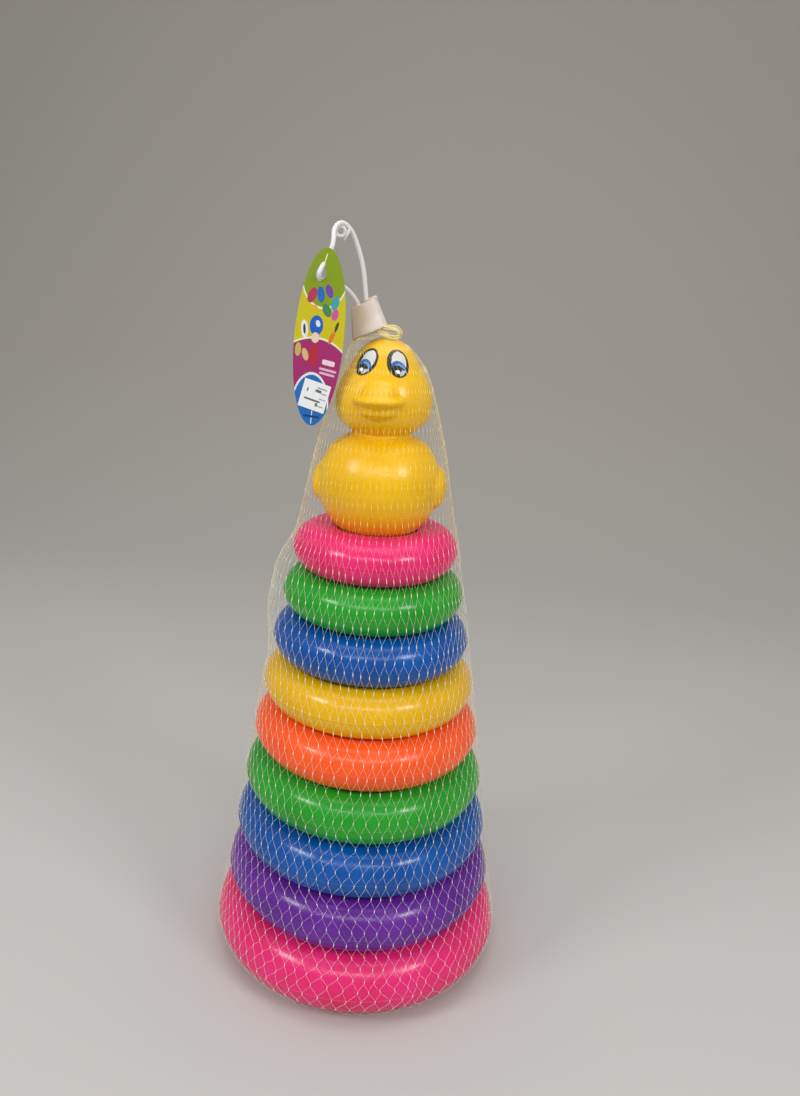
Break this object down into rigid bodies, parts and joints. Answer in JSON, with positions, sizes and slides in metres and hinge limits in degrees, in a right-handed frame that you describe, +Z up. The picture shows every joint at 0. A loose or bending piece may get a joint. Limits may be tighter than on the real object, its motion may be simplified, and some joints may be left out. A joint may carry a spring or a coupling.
{
  "type": "stacking ring toy",
  "caption": "Stacking ring toy: graded hollow plastic rings on a post with a duck on top, in a net bag with a closure cap, hanging loop and tag.",
  "frame": {"origin": "on the floor under the middle of the base, on the post's axis", "axes": "+Z up along the post, -Y the way the duck faces, +X to the right seen from the front"},
  "size_m": [0.1726, 0.1726, 0.4089],
  "materials": {
    "pink_plastic": "gloss",
    "purple_plastic": "gloss",
    "blue_plastic": "gloss",
    "green_plastic": "gloss",
    "orange_plastic": "gloss",
    "yellow_plastic": "gloss",
    "duck_plastic": "gloss",
    "eye_print": "printed",
    "white_plastic": "satin",
    "closure_plastic": "satin",
    "net_plastic": "satin",
    "tag_card": "printed card",
    "sticker_paper": "printed paper",
    "screw_steel": "plated"
  },
  "bodies": {
    "base": {"base_shell": "pink_plastic", "base_plate": "pink_plastic", "base_screw_1": "screw_steel", "base_screw_2": "screw_steel", "base_screw_3": "screw_steel", "post": "white_plastic", "net_bag": "net_plastic"},
    "ring_1": {"ring_1": "purple_plastic"},
    "ring_2": {"ring_2": "blue_plastic"},
    "ring_3": {"ring_3": "green_plastic"},
    "ring_4": {"ring_4": "orange_plastic"},
    "ring_5": {"ring_5": "yellow_plastic"},
    "ring_6": {"ring_6": "blue_plastic"},
    "ring_7": {"ring_7": "green_plastic"},
    "ring_8": {"ring_8": "pink_plastic"},
    "duck": {"duck": "duck_plastic", "eye_left": "eye_print", "eye_right": "eye_print"},
    "closure": {"closure_cap": "closure_plastic", "hang_loop": "closure_plastic"},
    "tag": {"hang_tag": "tag_card", "price_sticker": "sticker_paper"}
  },
  "joints": [
    {"name": "ring_1_lift", "type": "slide", "parent": "base", "child": "ring_1", "axis": [0, 0, 1], "range_m": [0, 0.241], "deforming": ["net_bag"]},
    {"name": "ring_2_lift", "type": "slide", "parent": "ring_1", "child": "ring_2", "axis": [0, 0, 1], "range_m": [0, 0.209]},
    {"name": "ring_3_lift", "type": "slide", "parent": "ring_2", "child": "ring_3", "axis": [0, 0, 1], "range_m": [0, 0.177]},
    {"name": "ring_4_lift", "type": "slide", "parent": "ring_3", "child": "ring_4", "axis": [0, 0, 1], "range_m": [0, 0.147]},
    {"name": "ring_5_lift", "type": "slide", "parent": "ring_4", "child": "ring_5", "axis": [0, 0, 1], "range_m": [0, 0.119]},
    {"name": "ring_6_lift", "type": "slide", "parent": "ring_5", "child": "ring_6", "axis": [0, 0, 1], "range_m": [0, 0.091]},
    {"name": "ring_7_lift", "type": "slide", "parent": "ring_6", "child": "ring_7", "axis": [0, 0, 1], "range_m": [0, 0.065]},
    {"name": "ring_8_lift", "type": "slide", "parent": "ring_7", "child": "ring_8", "axis": [0, 0, 1], "range_m": [0, 0.04]},
    {"name": "duck_lift", "type": "slide", "parent": "ring_8", "child": "duck", "axis": [0, 0, 1], "range_m": [0, 0.022]},
    {"name": "closure_lift", "type": "slide", "parent": "duck", "child": "closure", "axis": [0, 0, 1], "range_m": [0, 0.01]},
    {"name": "tag_swing", "type": "hinge", "parent": "closure", "child": "tag", "pos_m": [-0.03065, -0.018, 0.38526], "axis": [0, 1, 0], "range_deg": [-2, 45]}
  ]
}
